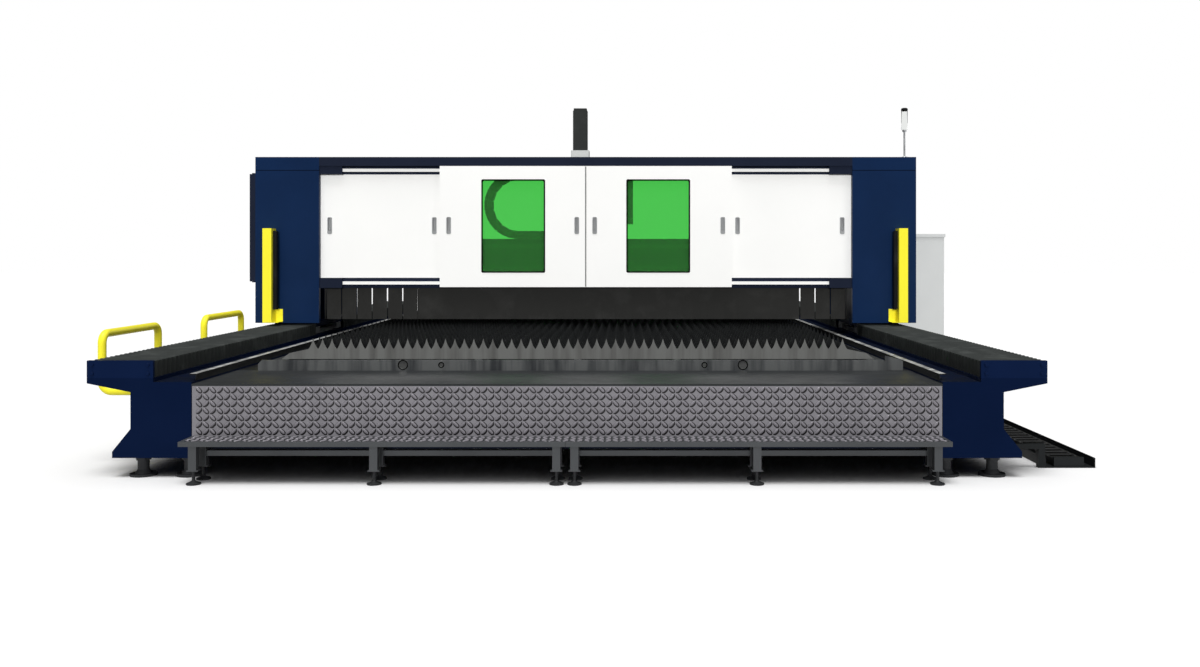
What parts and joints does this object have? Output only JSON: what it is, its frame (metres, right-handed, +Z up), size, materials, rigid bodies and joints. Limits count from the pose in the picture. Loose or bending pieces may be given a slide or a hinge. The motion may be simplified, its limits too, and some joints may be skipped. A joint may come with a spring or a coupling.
{
  "type": "fiber laser cutting machine",
  "caption": "Gantry laser cutter: slat table bed, travelling enclosed gantry with sliding doors and green windows, pleated way covers and a three-axis cutting head.",
  "frame": {"origin": "on the floor at the centre of the four corner anchor holes", "axes": "+X to the right seen from the loading end, +Y from the loading end to the rear, +Z up"},
  "size_m": [6.425, 7.8064, 2.575],
  "materials": {
    "navy_paint": "satin navy enamel",
    "dark_navy_paint": "satin dark navy enamel",
    "bright_steel": "brushed steel",
    "grey_plate": "dark grey plate",
    "tread_plate": "rolled tread plate",
    "slat_steel": "laser cut mild steel",
    "bellows_cloth": "coated pleated cloth",
    "yellow_paint": "gloss safety yellow enamel",
    "white_paint": "satin white powder coat",
    "grey_paint": "textured pale grey powder coat",
    "black_plastic": "matte black plastic",
    "curtain": "black strip curtain",
    "motor_black": "black anodised housing",
    "laser_glass": "green laser safety glass",
    "copper": "turned copper",
    "lamp": "clear lens with a black socket"
  },
  "bodies": {
    "bed": {"left_beam": "navy_paint", "right_beam": "navy_paint", "cross_frame": "dark_navy_paint", "levelling_feet": "bright_steel", "guide_rails": "bright_steel", "racks": "slat_steel", "rail_end_plates": "navy_paint", "front_bellows": "bellows_cloth", "rear_bellows": "bellows_cloth", "edge_strips": "bright_steel", "side_handrails": "yellow_paint", "slat_frame": "grey_plate", "slat_bearers": "grey_plate", "slats": "slat_steel", "slag_pan": "grey_plate", "platforms": "grey_plate", "lifting_strip": "bright_steel", "front_cover": "tread_plate", "rear_cover": "navy_paint", "steps": "tread_plate", "chain_tray": "grey_plate", "chain_lower_run": "black_plastic"},
    "bed_chain_bend": {"chain_loop": "black_plastic"},
    "gantry": {"chain_upper_run": "black_plastic", "chain_arm": "navy_paint", "end_carriages": "navy_paint", "bearing_blocks": "bright_steel", "drive_motors": "motor_black", "crossbeam": "navy_paint", "cross_rails": "bright_steel", "column_covers": "navy_paint", "headers": "dark_navy_paint", "door_frame": "dark_navy_paint", "door_tracks": "white_paint", "strip_curtain": "curtain", "guard_posts": "yellow_paint", "light_curtains": "black_plastic", "service_box": "dark_navy_paint", "laser_cabinet": "grey_paint", "signal_lamp": "lamp", "x_chain_lower_run": "black_plastic"},
    "cross_chain_bend": {"x_chain_loop": "black_plastic"},
    "carriage": {"x_carriage": "grey_plate", "x_motor": "motor_black", "lift_tower": "grey_paint", "lift_motor_cover": "black_plastic", "x_chain_upper_run": "black_plastic"},
    "head": {"lift_slide": "grey_plate", "cutting_head": "motor_black", "nozzle": "copper"},
    "left_centre": {"left_centre_door": "white_paint", "left_pane": "laser_glass", "left_centre_pulls": "bright_steel"},
    "right_centre": {"right_centre_door": "white_paint", "right_pane": "laser_glass", "right_centre_pulls": "bright_steel"},
    "left_outer": {"left_outer_door": "white_paint", "left_outer_pulls": "bright_steel"},
    "right_outer": {"right_outer_door": "white_paint", "right_outer_pulls": "bright_steel"}
  },
  "joints": [
    {"name": "gantry_travel", "type": "slide", "parent": "bed", "child": "gantry", "axis": [0, 1, 0], "range_m": [-2.05, 2.3], "deforming": ["front_bellows", "rear_bellows", "chain_lower_run", "chain_upper_run"]},
    {"name": "carriage_travel", "type": "slide", "parent": "gantry", "child": "carriage", "axis": [1, 0, 0], "range_m": [-1.85, 1.7], "deforming": ["x_chain_lower_run", "x_chain_upper_run"]},
    {"name": "head_lift", "type": "slide", "parent": "carriage", "child": "head", "axis": [0, 0, 1], "range_m": [-0.1, 0.15]},
    {"name": "left_centre_slide", "type": "slide", "parent": "gantry", "child": "left_centre", "axis": [-1, 0, 0], "range_m": [0, 0.835]},
    {"name": "right_centre_slide", "type": "slide", "parent": "gantry", "child": "right_centre", "axis": [1, 0, 0], "range_m": [0, 0.835]},
    {"name": "left_outer_slide", "type": "slide", "parent": "gantry", "child": "left_outer", "axis": [1, 0, 0], "range_m": [0, 1]},
    {"name": "right_outer_slide", "type": "slide", "parent": "gantry", "child": "right_outer", "axis": [-1, 0, 0], "range_m": [0, 1]},
    {"name": "bed_chain_roll", "type": "slide", "parent": "bed", "child": "bed_chain_bend", "axis": [0, 1, 0], "range_m": [-1.03, 1.16]},
    {"name": "cross_chain_roll", "type": "slide", "parent": "gantry", "child": "cross_chain_bend", "axis": [1, 0, 0], "range_m": [-0.93, 0.86]}
  ],
  "couplings": [
    {"joint": "bed_chain_roll", "follows": "gantry_travel", "ratio": 0.5},
    {"joint": "cross_chain_roll", "follows": "carriage_travel", "ratio": 0.5}
  ]
}
